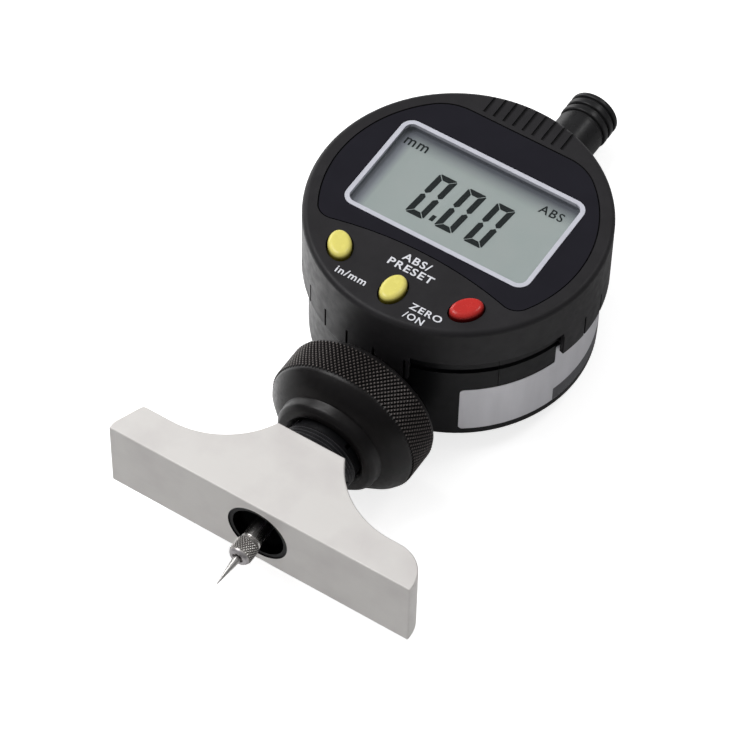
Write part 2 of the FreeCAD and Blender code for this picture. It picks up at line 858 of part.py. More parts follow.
def panel_outline(inset, z_low, z_high):
    """The front panel's outline: a disc cut flat at the top and by an arch below."""
    body = disc(panel_radius - inset, z_low, z_high)
    top = block(-panel_radius, panel_radius, dial_y + panel_top_y - inset, dial_y + panel_radius + 1,
                z_low, z_high)
    arch_y = dial_y + panel_low_y - panel_arch_radius
    arch = disc(panel_arch_radius + inset, z_low, z_high, 0.0, arch_y)
    body = body.cut(top).cut(arch)
    low_edges = [edge for edge in body.Edges if is_upright(edge) and edge.Vertexes[0].Y < dial_y]
    body = body.makeFillet(panel_low_corner_radius - inset, low_edges)
    high_edges = [edge for edge in body.Edges
                  if is_upright(edge) and edge.Vertexes[0].Y > dial_y + display_high_y]
    return body.makeFillet(panel_high_corner_radius - inset, high_edges)


def is_upright(edge):
    """True for a straight edge along Z that joins two faces of an outline."""
    if len(edge.Vertexes) != 2:
        return False
    first, last = edge.Vertexes[0].Point, edge.Vertexes[1].Point
    on_seam = abs(first.y - dial_y) < 1e-6 and first.x > 0
    return abs(first.x - last.x) < 1e-6 and abs(first.y - last.y) < 1e-6 and not on_seam


def display_bezel():
    snap_radius = housing_radius - snap_overlap
    bead_low = snap_groove_low_z + moving_clearance
    bead_high = snap_groove_high_z - moving_clearance
    body = turned_on_dial([
        (0, face_z),
        (bezel_radius, face_z, face_edge_radius),
        (bezel_radius, skirt_low_z, skirt_edge_radius),
        (skirt_bore_radius, skirt_low_z),
        (skirt_bore_radius, bead_low),
        (snap_radius, bead_low),
        (snap_radius, bead_high),
        (skirt_bore_radius, bead_high),
        (skirt_bore_radius, shoulder_z),
        (head_wall_radius, shoulder_z),
        (head_wall_radius, plate_low_z),
        (0, plate_low_z),
    ])
    posts = []
    for angle in post_angles():
        place = polar(post_ring_radius, angle)
        posts.append(disc(post_radius, main_board_high_z, plate_low_z + 0.5, place.x, place.y))
    body = fused([body] + posts)
    for angle in post_angles():
        place = polar(post_ring_radius, angle)
        body = body.cut(disc(screw_shank_radius, main_board_high_z - 1, plate_low_z - post_hole_end_gap,
                             place.x, place.y))
    body = body.cut(panel_outline(0.0, panel_low_z, face_z + 1))
    body = body.cut(display_plate(-push_clearance, plate_low_z - 1, face_z + 1))
    for name, x, y, lean in button_places():
        body = body.cut(oval(x, y, lean, button_gap, plate_low_z - 1, face_z + 1))
    body = body.cut(dial_sector(snap_radius - 1, bezel_radius + 1, skirt_low_z - 1, window_top_z,
                                window_start_angle, window_end_angle))
    for index in range(slit_count):
        angle = -90 + index * 360 / slit_count
        slit = block(snap_radius - 1, bezel_radius + 1, -slit_width / 2, slit_width / 2,
                     skirt_low_z - 1, skirt_low_z + slit_height)
        slit.translate(dial_centre)
        slit.rotate(dial_centre, Z, angle)
        body = body.cut(slit)
    for index in range(rib_count):
        x = (index - (rib_count - 1) / 2) * rib_pitch
        body = body.cut(block(x - rib_width / 2, x + rib_width / 2, dial_y + rib_start_y,
                              dial_y + bezel_radius + 1, face_z - rib_depth, face_z + 1))
    return body


def lens_panel():
    body = panel_outline(panel_groove, panel_low_z, panel_top_z)
    return body.cut(display_plate(-push_clearance, panel_low_z - 1, panel_top_z + 1))


def window_frame():
    top_z = face_z - display_frame_sink
    body = display_plate(0.0, display_frame_low_z, top_z)
    return body.cut(display_plate(display_frame_band, display_frame_low_z - 1, top_z + 1))


def clear_window():
    top_z = face_z - pane_sink
    return display_plate(display_frame_band, top_z - pane_thickness, top_z)


def lcd_glass():
    return display_plate(lcd_margin, lcd_low_z, display_frame_low_z)


def zebra_strips():
    strips = []
    half_width = display_half_width - zebra_inset
    for low_y in (display_low_y + lcd_margin + zebra_margin,
                  display_high_y - lcd_margin - zebra_margin - zebra_width):
        strips.append(block(-half_width, half_width, dial_y + low_y, dial_y + low_y + zebra_width,
                            main_board_high_z, lcd_low_z))
    return Part.makeCompound(strips)


def post_angles():
    step = (post_last_angle - post_first_angle) / (post_count - 1)
    return [post_first_angle + index * step for index in range(post_count)]


def main_board():
    body = disc(main_board_radius, main_board_low_z, main_board_high_z)
    for angle in post_angles():
        place = polar(post_ring_radius, angle)
        body = body.cut(disc(screw_shank_radius, main_board_low_z - 1, main_board_high_z + 1,
                             place.x, place.y))
    return body


def board_screws():
    screws = []
    head_low_z = main_board_low_z - board_screw_head_height
    for angle in post_angles():
        place = polar(post_ring_radius, angle)
        head = disc(screw_head_radius, head_low_z, main_board_low_z, place.x, place.y)
        shank = disc(screw_shank_radius, head_low_z, plate_low_z - board_screw_end_gap, place.x, place.y)
        screw = fused([head, shank])
        slot_top_z = head_low_z + board_screw_head_height / 2
        screws.append(screw.cut(cross_recess(place.x, place.y, head_low_z - 1, slot_top_z)))
    return Part.makeCompound(screws)


def button_flange_low_z():
    return plate_low_z - moving_clearance - button_flange_height


def keypad_mat():
    top_z = main_board_high_z + mat_thickness
    inside = disc(main_board_radius - mat_edge_gap, main_board_high_z, top_z)
    half_width = side_button_x + mat_side_margin
    low_y = middle_button_y - mat_low_margin
    high_y = side_button_y + mat_high_margin
    body = plate([(half_width, low_y), (half_width, high_y), (-half_width, high_y), (-half_width, low_y)],
                 main_board_high_z, top_z).common(inside)
    dome_top_z = button_flange_low_z() - button_travel - running_clearance
    domes = []
    for name, x, y, lean in button_places():
        domes.append(disc(mat_dome_radius, main_board_high_z, dome_top_z, x, dial_y + y))
    return fused([body] + domes)


def push_button(x, y, lean):
    cap = oval(x, y, lean, 0.0, button_flange_low_z(), button_top_z)
    top_edges = [edge for edge in cap.Edges if all(abs(v.Z - button_top_z) < 1e-6 for v in edge.Vertexes)]
    cap = cap.makeFillet(button_dome_radius, top_edges)
    flange_top_z = plate_low_z - moving_clearance
    flange = oval(x, y, lean, button_flange, button_flange_low_z(), flange_top_z)
    return fused([cap, flange])


# Resting place: the floor touches the clamp nut's rear edge and the back cover's far rim
def laid_down(shapes):
    """Turns the shapes to their rest and puts the middle of their box's underside at the origin."""
    nut_y = nut_rear - nut_edge_radius
    nut_z = -(nut_radius - nut_edge_radius)
    rim_y = dial_y + housing_radius - cover_edge_radius
    rim_z = back_z + cover_edge_radius
    span = math.hypot(rim_y - nut_y, rim_z - nut_z)
    tilt = math.atan2(rim_z - nut_z, rim_y - nut_y) - math.asin((cover_edge_radius - nut_edge_radius) / span)
    turned = {}
    for name, shape in shapes.items():
        copy = shape.copy()
        copy.rotate(FreeCAD.Vector(0, 0, 0), X, -math.degrees(tilt))
        turned[name] = copy
    box = Part.makeCompound(list(turned.values())).optimalBoundingBox(False, False)
    floor_z = nut_z * math.cos(tilt) - nut_y * math.sin(tilt) - nut_edge_radius
    shift = FreeCAD.Vector(-(box.XMin + box.XMax) / 2, -(box.YMin + box.YMax) / 2, -floor_z)
    for shape in turned.values():
        shape.translate(shift)
    print("rest tilt", round(math.degrees(tilt), 3), "shift", [round(value, 3) for value in shift],
          "size", round(box.XLength, 2), round(box.YLength, 2), round(box.ZMax - floor_z, 2),
          "lowest", round(box.ZMin - floor_z, 3))
    return turned


pieces = {
    "depth_base": depth_base(),
    "threaded_collar": threaded_collar(),
    "clamp_nut": clamp_nut(),
    "stem": stem(),
    "lower_bush": lower_bush(),
    "spindle": spindle(),
    "contact_holder": contact_holder(),
    "contact_needle": contact_needle(),
    "spindle_carrier": spindle_carrier(),
    "scale_strip": scale_strip(),
    "return_spring": return_spring(),
    "main_housing": main_housing(),
    "back_cover": back_cover(),
    "back_cover_screws": back_cover_screws(),
    "battery_cap": battery_cap(),
    "battery_cell": battery_cell(),
    "battery_holder": battery_holder(),
    "battery_contact": battery_contact(),
    "measuring_frame": measuring_frame(),
    "frame_screws": frame_screws(),
    "guide_rail": guide_rail(),
    "upper_bush": upper_bush(),
    "sensor_board": sensor_board(),
    "top_cap": top_cap(),
    "port_cover": port_cover(),
    "data_connector": data_connector(),
    "side_label": side_label(),
    "friction_ring": friction_ring(),
    "display_bezel": display_bezel(),
    "lens_panel": lens_panel(),
    "window_frame": window_frame(),
    "clear_window": clear_window(),
    "lcd_glass": lcd_glass(),
    "zebra_strips": zebra_strips(),
    "main_board": main_board(),
    "board_screws": board_screws(),
    "keypad_mat": keypad_mat(),
}
for name, x, y, lean in button_places():
    pieces[name] = push_button(x, y, lean)

for name, shape in laid_down(pieces).items():
    print(name, len(shape.Solids), round(shape.Volume, 1), shape.isValid())
    shape.exportStep("parts/" + name + ".step")
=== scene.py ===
import bmesh
import bpy
import json
import math
from mathutils import Matrix, Vector


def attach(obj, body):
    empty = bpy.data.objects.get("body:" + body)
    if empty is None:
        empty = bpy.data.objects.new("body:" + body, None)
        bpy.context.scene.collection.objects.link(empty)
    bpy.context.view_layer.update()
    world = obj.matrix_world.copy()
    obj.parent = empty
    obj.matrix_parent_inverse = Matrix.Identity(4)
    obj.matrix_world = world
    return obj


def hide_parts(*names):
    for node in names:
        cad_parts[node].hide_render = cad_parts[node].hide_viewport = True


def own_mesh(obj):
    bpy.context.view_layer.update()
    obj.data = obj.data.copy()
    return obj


# Looks for a digital depth gauge lying on a pale floor.
# New pieces are drawn in millimetres in the gauge's own frame, as the solids are: the origin is the middle of
# the base's measuring face, +X runs along the base, +Y up the spindle to the cap and +Z out of the dial. The
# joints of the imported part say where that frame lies.
MM = 0.001

# Clamp nut
nut_radius = 15.3
nut_knurl_depth = 0.32
nut_knurl_start = 27.5
nut_knurl_end = 34.6
nut_knurl_count = 112
nut_knurl_rows = 13
nut_outline = [(14.98, 34.9), (14.55, 35.3), (4.3, 35.3), (4.3, 33.9), (5.3, 33.9), (5.3, 32.9), (7.4, 30.5),
               (7.4, 22.1), (8.2, 21.5), (9.6, 21.5), (9.8, 21.6), (10.4, 22.2), (10.6, 22.6), (10.6, 23.7),
               (10.75, 24.05), (11.2, 24.2), (12.3, 24.85), (12.75, 25.15), (14.75, 27.0)]

# Both knurls: a diamond's flat top over the diamond, and the gap that is closed where a knurl meets its edges
knurl_flat = 0.3
knurl_join = 0.002

# New pieces: edges that turn by more than this many degrees stay sharp
crease_angle = 35.0

# Wear on the nut knurl's tops, and painted shade in the holder knurl's valleys, which leaves its tops out, as
# depths below the tops; then how far the painted shade in front of the holder's knurl blends in
nut_wear_low = 0.16
nut_wear_high = 0.02
holder_unshaded_top_low = 0.12
holder_unshaded_top_high = 0.02
holder_valley_shade_high = 0.16
holder_valley_shade_below_valley = 0.05
holder_front_shade_blend = 0.2

# Contact holder
holder_radius = 2.27
holder_knurl_depth = 0.2
holder_knurl_start = -5.75
holder_knurl_end = -2.8
holder_knurl_count = 26
holder_knurl_rows = 8
holder_outline = [(2.02, -2.55), (1.8, -2.3), (1.2, -2.3), (1.2, 1.7), (0.1, 1.7), (0.1, -3.8), (0.75, -3.8),
                  (0.75, -5.8), (1.05, -5.85), (1.1, -6.3), (1.7, -6.3), (2.02, -5.95)]

# Dial face
dial_y = 66.2
face_z = 23.0
glass_z = 21.2
print_thickness = 0.03
display_left = -17.3
display_top = 12.2
left_shade = 1.6
top_shade = 4.2
top_shade_curve = 1.5
# Depth of the window frame's lip, below which its walls carry painted shade, and the blend
frame_lip = 0.8
frame_lip_blend = 0.25
button_top_z = 24.25
# Heights below a button's top between which the painted shade round its rim fades out
button_rim_shade_low = -0.95
button_rim_shade_high = -0.3

# Lettering: the letters' spacing over the font's own, the strokes' weight, the steps along a curve, half the
# depth before a word is thinned to a print, and how near seams are closed
letter_spacing = 1.15
face_letter_weight = 0.018
display_letter_weight = 0.012
letter_curve_steps = 4
letter_half_depth = 0.5
letter_join = 1e-5

# Display figures, from the dial's centre. An upright segment's tip is given in shares of its width.
digit_centres = [-6.47, -0.25, 5.92]
digit_middle_y = 1.11
digit_half_height = 5.5
digit_half_width = 1.95
digit_slant = 0.085
segment_width = 1.2
segment_gap = 0.1
segment_corner_cut = 0.4
segment_tip_inside = 0.5
segment_tip_middle = 0.5
segment_tip_outside = 0.35
point_x = -3.6
point_y = -3.1
point_half_width = 0.42
point_half_height = 0.72

# Side label
label_radius = 27.22
label_field_steps = 24
label_field_start = -16.1
label_field_end = 37.0
label_field_low_z = -7.1
label_field_high_z = -3.8

# Collar thread, between the base's neck and the collar's slots
thread_pitch = 0.75
thread_wear_depth = 0.08
thread_root_radius = 7.28
thread_crest_radius = 7.54
thread_start = 17.55
thread_turns = 3.5
thread_steps_per_turn = 64

# Return spring, between the spindle's carrier and the measuring frame's upper ear
spring_start = 66.05
spring_end = 86.0
spring_mean_radius = 2.95
spring_wire_radius = 0.3
spring_wire_sides = 8
spring_turns = 7
spring_steps_per_turn = 24

# Bore of the base: its edge, inside which it carries painted shade, and the depth to which the collar's end
# in it carries painted shade
bore_edge_radius = 6.3
bore_edge_blend = 0.02
collar_end_depth = 2.0
collar_end_blend = 1.0

# Camera, in the gauge's frame
camera_eye = (208.941, -303.158, 541.737)
camera_right = (0.84208, 0.53913, 0.01541)
camera_up = (-0.4403, 0.67066, 0.59695)
camera_back = (0.3115, -0.50946, 0.80213)
camera_lens = 177.145

# Room
floor_half_size = 3
floor_grey = (0.8, 0.8, 0.8, 1.0)
floor_grey_patch = (0.82, 0.82, 0.82, 1.0)
floor_glow = 0.75
floor_glow_in_gloss = 0.1
left_floor_glow = 1.2
past_base_start = -0.045
past_base_full = -0.02
left_floor_start = -0.012
left_floor_full = -0.035
far_floor_start = -0.01
far_floor_full = 0.03
far_floor_dimming = 0.6
room_low = 0.05
room_high = 0.38
room_low_height = -0.1
room_high_height = 0.8
lit_middle = (0.0, 0.0, 0.02)

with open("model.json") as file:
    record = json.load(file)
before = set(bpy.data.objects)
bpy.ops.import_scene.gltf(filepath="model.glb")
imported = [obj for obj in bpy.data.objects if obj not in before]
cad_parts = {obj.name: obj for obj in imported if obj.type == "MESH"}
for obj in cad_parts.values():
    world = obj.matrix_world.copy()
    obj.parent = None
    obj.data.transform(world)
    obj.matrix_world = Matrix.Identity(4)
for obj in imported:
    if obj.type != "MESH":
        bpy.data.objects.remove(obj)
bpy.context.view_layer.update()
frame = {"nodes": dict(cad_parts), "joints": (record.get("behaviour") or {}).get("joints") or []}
joints = {joint["name"]: joint for joint in frame["joints"]}
up_spindle = Vector(joints["spindle_slide"]["axis"]).normalized()
out_of_dial = Vector(joints["display_turn"]["axis"]).normalized()
along_base = up_spindle.cross(out_of_dial)
gauge_turn = Matrix((along_base, up_spindle, out_of_dial)).transposed()
gauge_origin = Vector(joints["spindle_slide"]["pos_m"])
gauge_to_scene = Matrix.Translation(gauge_origin) @ gauge_turn.to_4x4() @ Matrix.Scale(MM, 4)


def linear(red, green, blue):
    """A linear colour from 0 to 255 screen values."""
    parts = []
    for value in (red, green, blue):
        value = value / 255
        parts.append(value / 12.92 if value <= 0.04045 else ((value + 0.055) / 1.055) ** 2.4)
    return (*parts, 1.0)


# Materials: a mix node's sockets for colours, the range in which most noise lies and the painted shade of the
# bore
mix_inputs = (6, 7)
mix_output = 2
noise_low = 0.3
noise_high = 0.7
bore_painted_shade = linear(6, 6, 7)


def math_node(tree, operation, *values):
    """A sum on numbers and node outputs."""
    node = tree.nodes.new("ShaderNodeMath")
    node.operation = operation
    for socket, value in zip(node.inputs, values):
        if isinstance(value, (int, float)):
            socket.default_value = value
        else:
            tree.links.new(value, socket)
    return node.outputs["Value"]


def ramp_node(tree, value, start, end, low=0.0, high=1.0):
    """Maps a value so that start gives low and end gives high."""
    node = tree.nodes.new("ShaderNodeMapRange")
    node.inputs["From Min"].default_value = start
    node.inputs["From Max"].default_value = end
    node.inputs["To Min"].default_value = low
    node.inputs["To Max"].default_value = high
    tree.links.new(value, node.inputs["Value"])
    return node.outputs["Result"]


def blend_node(tree, factor, first, second):
    """Blends two colours, each a tuple or another blend."""
    node = tree.nodes.new("ShaderNodeMix")
    node.data_type = "RGBA"
    tree.links.new(factor, node.inputs["Factor"])
    for index, colour in zip(mix_inputs, (first, second)):
        if isinstance(colour, tuple):
            node.inputs[index].default_value = colour
        else:
            tree.links.new(colour, node.inputs[index])
    return node.outputs[mix_output]


class Finish:
    """A material under construction, with its texture coordinates in the gauge's frame in millimetres."""

    def __init__(self, name):
        self.material = bpy.data.materials.new(name)
        self.material.use_nodes = True
        self.tree = self.material.node_tree
        self.shader = self.tree.nodes["Principled BSDF"]
        coordinates = self.tree.nodes.new("ShaderNodeTexCoord")
        mapping = self.tree.nodes.new("ShaderNodeMapping")
        mapping.vector_type = "TEXTURE"
        mapping.inputs["Location"].default_value = gauge_origin
        mapping.inputs["Rotation"].default_value = gauge_turn.to_euler()
        mapping.inputs["Scale"].default_value = (MM, MM, MM)
        self.link(coordinates.outputs["Object"], mapping.inputs["Vector"])
        self.place = mapping.outputs["Vector"]

    def link(self, output, target):
        self.tree.links.new(output, target)

    def math(self, operation, *values):
        return math_node(self.tree, operation, *values)

    def noise(self, size, detail=3.0, stretch=(1.0, 1.0, 1.0)):
        """Noise with features of about size millimetres, longer along an axis where stretch is above 1."""
        stretched = self.tree.nodes.new("ShaderNodeMapping")
        stretched.inputs["Scale"].default_value = [1 / value for value in stretch]
        self.link(self.place, stretched.inputs["Vector"])
        node = self.tree.nodes.new("ShaderNodeTexNoise")
        node.inputs["Scale"].default_value = 1 / size
        node.inputs["Detail"].default_value = detail
        self.link(stretched.outputs["Vector"], node.inputs["Vector"])
        return node.outputs["Fac"]

    def spread(self, value, start=noise_low, end=noise_high, low=0.0, high=1.0):
        return ramp_node(self.tree, value, start, end, low, high)

    def mix(self, factor, first, second):
        return blend_node(self.tree, factor, first, second)

    def colour(self, base, variation, size, stretch=(1.0, 1.0, 1.0)):
        """The base colour, lighter and darker by a share in soft patches."""
        dark = tuple(value * (1 - variation) for value in base[:3]) + (1.0,)
        light = tuple(min(value * (1 + variation), 1.0) for value in base[:3]) + (1.0,)
        self.paint(self.mix(self.spread(self.noise(size, stretch=stretch)), dark, light))

    def paint(self, colour):
        self.surface_colour = colour
        self.link(colour, self.shader.inputs["Base Color"])

    def roughness(self, low, high, size, stretch=(1.0, 1.0, 1.0)):
        patches = self.spread(self.noise(size, detail=4.0, stretch=stretch), low=low, high=high)
        self.link(patches, self.shader.inputs["Roughness"])

    def gloss(self, level):
        self.shader.inputs["Specular IOR Level"].default_value = level

    def metallic(self, factor, at_zero, at_one):
        """How metallic the surface is where a factor is 0 and where it is 1."""
        self.link(self.spread(factor, 0.0, 1.0, at_zero, at_one), self.shader.inputs["Metallic"])

    def bump(self, height, depth):
        """Raises the surface by depth millimetres where height is 1."""
        node = self.tree.nodes.new("ShaderNodeBump")
        node.inputs["Distance"].default_value = depth * MM
        self.link(height, node.inputs["Height"])
        self.link(node.outputs["Normal"], self.shader.inputs["Normal"])

    def from_spindle(self):
        """The distance from the spindle's axis in millimetres."""
        x, _, z = self.position()
        squares = self.math("ADD", self.math("MULTIPLY", x, x), self.math("MULTIPLY", z, z))
        return self.math("SQRT", squares)

    def position(self, x=0.0, y=0.0, z=0.0):
        """The three coordinates in millimetres, measured from a point."""
        shift = self.tree.nodes.new("ShaderNodeVectorMath")
        shift.operation = "SUBTRACT"
        shift.inputs[1].default_value = (x, y, z)
        self.link(self.place, shift.inputs[0])
        parts = self.tree.nodes.new("ShaderNodeSeparateXYZ")
        self.link(shift.outputs["Vector"], parts.inputs["Vector"])
        return parts.outputs["X"], parts.outputs["Y"], parts.outputs["Z"]


def moulded(name, base, rough, texture=0.012, texture_size=0.22, gloss=0.14):
    """Moulded plastic with a fine spark-eroded texture."""
    finish = Finish(name)
    finish.gloss(gloss)
    finish.colour(base, variation=0.1, size=5.0)
    finish.roughness(rough - 0.05, rough + 0.07, size=1.8)
    finish.bump(finish.noise(texture_size, detail=2.0), depth=texture)
    return finish.material


def metal(name, base, rough, stretch=(1.0, 1.0, 1.0), scratch=0.004, variation=0.06, metallic=1.0):
    """Metal with fine marks along the way that it was worked, as a finish that can be painted over."""
    finish = Finish(name)
    finish.shader.inputs["Metallic"].default_value = metallic
    finish.colour(base, variation, size=1.5, stretch=stretch)
    finish.roughness(rough - 0.06, rough + 0.08, size=0.8, stretch=stretch)
    finish.bump(finish.noise(size=0.12, stretch=stretch), depth=scratch)
    return finish


def ground_steel():
    """Ground steel, with painted shade in its bore."""
    finish = metal("ground_steel", linear(228, 225, 222), rough=0.46, stretch=(14.0, 1.0, 1.0), scratch=0.003,
                   metallic=0.2)
    patches = finish.spread(finish.noise(size=9.0, detail=4.0), start=0.45, end=0.75)
    ground = finish.mix(patches, linear(228, 225, 222), linear(219, 215, 213))
    outside_bore = finish.spread(finish.from_spindle(), bore_edge_radius - bore_edge_blend,
                                 bore_edge_radius + bore_edge_blend)
    finish.gloss(0.4)
    # Painted shade in the bore: black and fully metallic inside the bore's edge, so it shows little light
    finish.paint(finish.mix(outside_bore, bore_painted_shade, ground))
    finish.metallic(outside_bore, at_zero=1.0, at_one=0.2)
    return finish.material


def black_anodised():
    """Black anodised metal, worn lighter on the tops of the knurl."""
    finish = metal("black_anodised", linear(20, 18, 19), rough=0.36, scratch=0.003, variation=0.16,
                   metallic=0.2)
    finish.gloss(0.3)
    worn = finish.spread(finish.from_spindle(), nut_radius - nut_wear_low, nut_radius - nut_wear_high)
    finish.paint(finish.mix(worn, finish.surface_colour, linear(94, 88, 86)))
    return finish.material


def knurled_steel():
    """Bright steel, with painted shade in front of the knurl and in the knurl's valleys."""
    finish = metal("holder_steel", linear(232, 228, 225), rough=0.34, scratch=0.003, variation=0.05,
                   metallic=0.7)
    radius = finish.from_spindle()
    valley_radius = holder_radius - holder_knurl_depth
    # Painted shade in the knurl's valleys, darkest deep down and leaving the diamonds' tops out
    in_knurl = finish.spread(radius, valley_radius - holder_valley_shade_below_valley,
                             holder_radius - holder_valley_shade_high)
    top = finish.spread(radius, holder_radius - holder_unshaded_top_low, holder_radius - holder_unshaded_top_high)
    valley = finish.math("SUBTRACT", in_knurl, top)
    valley_shaded = finish.mix(valley, finish.surface_colour, linear(108, 105, 102))
    # Painted shade on the face in front of the knurl
    up = finish.position()[1]
    front_shade = finish.spread(up, holder_knurl_start, holder_knurl_start - holder_front_shade_blend)
    finish.paint(finish.mix(front_shade, valley_shaded, linear(176, 172, 174)))
    return finish.material


def threaded_black():
    """Black anodised metal, a little worn along its thread's crests, with painted shade at its end in the
    bore.
    """
    finish = metal("threaded_black", linear(26, 26, 28), rough=0.36, scratch=0.003, variation=0.12,
                   metallic=0.2)
    finish.gloss(0.2)
    worn = finish.spread(finish.from_spindle(), thread_crest_radius - thread_wear_depth, thread_crest_radius)
    threaded = finish.mix(worn, finish.surface_colour, linear(76, 75, 78))
    up = finish.position()[1]
    # Painted shade on the collar's end in the bore: black and fully metallic deeper in
    in_bore = finish.spread(up, collar_end_depth + collar_end_blend, collar_end_depth)
    finish.paint(finish.mix(in_bore, threaded, bore_painted_shade))
    finish.metallic(in_bore, at_zero=0.2, at_one=1.0)
    return finish.material


def dark_glass_panel():
    finish = Finish("dark_panel")
    finish.gloss(0.3)
    finish.colour(linear(28, 27, 35), variation=0.08, size=8.0)
    finish.roughness(0.16, 0.22, size=4.0)
    finish.bump(finish.noise(size=0.5, detail=2.0), depth=0.002)
    return finish.material


def display_glass():
    """Grey green glass that darkens into the shade of its frame at the top and left."""
    finish = Finish("display_glass")
    across, up = finish.position(x=display_left, y=dial_y + display_top)[:2]
    from_left = finish.spread(across, left_shade, 0.0)
    from_top = finish.math("POWER", finish.spread(up, -top_shade, 0.0), top_shade_curve)
    patches = finish.spread(finish.noise(size=7.0, detail=2.0))
    lit = finish.mix(patches, linear(167, 178, 176), linear(172, 181, 179))
    beside = finish.mix(from_left, lit, linear(128, 133, 142))
    finish.paint(finish.mix(from_top, beside, linear(90, 94, 103)))
    finish.roughness(0.4, 0.5, size=3.0)
    return finish.material


def clear_pane():
    finish = Finish("clear_pane")
    finish.colour(linear(120, 124, 124), variation=0.02, size=6.0)
    finish.roughness(0.04, 0.07, size=6.0)
    finish.shader.inputs["Alpha"].default_value = 0.05
    return finish.material


def button_rubber(name, top, rim_shade):
    """Glossy rubber, with painted shade round the rim of a button's dome."""
    finish = Finish(name)
    finish.gloss(0.35)
    finish.colour(top, variation=0.04, size=2.5)
    height = finish.position(z=button_top_z)[2]
    on_dome = finish.spread(height, button_rim_shade_low, button_rim_shade_high)
    # Painted shade round the dome's rim
    finish.paint(finish.mix(on_dome, rim_shade, finish.surface_colour))
    finish.roughness(0.22, 0.3, size=1.2)
    finish.bump(finish.noise(size=0.9, detail=2.0), depth=0.006)
    return finish.material


def window_surround():
    """Light grey plastic, with painted shade on the walls below its lip."""
    finish = Finish("window_surround")
    height = finish.position(z=face_z - frame_lip)[2]
    finish.colour(linear(206, 207, 217), variation=0.05, size=2.5)
    lip = finish.spread(height, -frame_lip_blend, 0.0)
    # Painted shade on the walls below the lip
    finish.paint(finish.mix(lip, linear(104, 107, 117), finish.surface_colour))
    finish.roughness(0.26, 0.35, size=1.2)
    return finish.material


def silver_film():
    finish = Finish("silver_film")
    finish.shader.inputs["Metallic"].default_value = 0.3
    finish.colour(linear(232, 231, 236), variation=0.05, size=3.0, stretch=(1.0, 1.0, 6.0))
    finish.roughness(0.34, 0.44, size=1.5)
    finish.bump(finish.noise(size=1.6), depth=0.01)
    return finish.material


def printed(name, base, gloss=0.5):
    finish = Finish(name)
    finish.gloss(gloss)
    finish.colour(base, variation=0.05, size=1.0)
    finish.roughness(0.42, 0.55, size=0.6)
    return finish.material


charcoal = moulded("bezel_charcoal", linear(44, 43, 45), rough=0.42)
dark_plastic = moulded("dark_plastic", linear(32, 32, 34), rough=0.46)
cap_black = moulded("cap_black", linear(38, 38, 39), rough=0.3, texture=0.004, texture_size=0.3, gloss=0.2)
housing_black = moulded("housing_black", linear(16, 16, 19), rough=0.38, texture=0.006, texture_size=0.16)
nut_black = black_anodised()
collar_black = threaded_black()
base_steel = ground_steel()
bright_steel = metal("bright_steel", linear(196, 194, 192), rough=0.24, stretch=(1.0, 12.0, 1.0)).material
holder_steel = knurled_steel()
panel_dark = dark_glass_panel()
frame_grey = window_surround()
button_yellow = button_rubber("button_yellow", linear(238, 227, 122), linear(112, 103, 30))
button_red = button_rubber("button_red", linear(200, 48, 44), linear(104, 14, 12))
glass_grey = display_glass()
pane_clear = clear_pane()
label_silver = silver_film()
label_dark = printed("label_dark", linear(88, 87, 92))
letter_white = printed("letter_white", linear(228, 229, 235))
segment_dark = printed("segment_dark", linear(9, 19, 20), gloss=0.1)
screw_black = metal("screw_black", linear(62, 62, 64), rough=0.35).material
spring_steel = metal("spring_steel", linear(160, 158, 156), rough=0.3).material
brass = metal("bush_brass", linear(200, 168, 104), rough=0.3, stretch=(1.0, 8.0, 1.0)).material
cast_grey = moulded("cast_grey", linear(150, 150, 152), rough=0.55, texture=0.02, texture_size=0.4)
milled = metal("milled_aluminium", linear(200, 200, 202), rough=0.32, stretch=(10.0, 1.0, 1.0)).material
board_green = moulded("board_green", linear(30, 84, 56), rough=0.42, texture=0.01, texture_size=0.5)
scale_green = moulded("scale_green", linear(128, 138, 110), rough=0.3, texture=0.003, texture_size=0.4)
cell_metal = metal("cell_metal", linear(205, 205, 203), rough=0.2).material
rubber = moulded("rubber_dark", linear(60, 60, 60), rough=0.7, texture=0.01, texture_size=0.3)

node_materials = {
    "depth_base": base_steel, "threaded_collar": collar_black, "clamp_nut": nut_black, "stem": bright_steel,
    "lower_bush": brass, "spindle": bright_steel, "contact_holder": holder_steel,
    "contact_needle": bright_steel, "spindle_carrier": milled, "scale_strip": scale_green,
    "return_spring": spring_steel, "main_housing": housing_black, "back_cover": housing_black,
    "back_cover_screws": screw_black, "battery_cap": dark_plastic, "battery_cell": cell_metal,
    "battery_holder": dark_plastic, "battery_contact": brass, "measuring_frame": cast_grey,
    "frame_screws": screw_black, "guide_rail": bright_steel, "upper_bush": brass,
    "sensor_board": board_green, "top_cap": cap_black, "port_cover": dark_plastic,
    "data_connector": dark_plastic, "side_label": label_silver, "friction_ring": spring_steel,
    "display_bezel": charcoal, "lens_panel": panel_dark, "window_frame": frame_grey,
    "clear_window": pane_clear, "lcd_glass": glass_grey, "zebra_strips": rubber, "main_board": board_green,
    "board_screws": screw_black, "keypad_mat": rubber, "button_units": button_yellow,
    "button_preset": button_yellow, "button_zero": button_red,
}
for name, material in node_materials.items():
    node = frame["nodes"][name]
    node.data.materials.clear()
    node.data.materials.append(material)


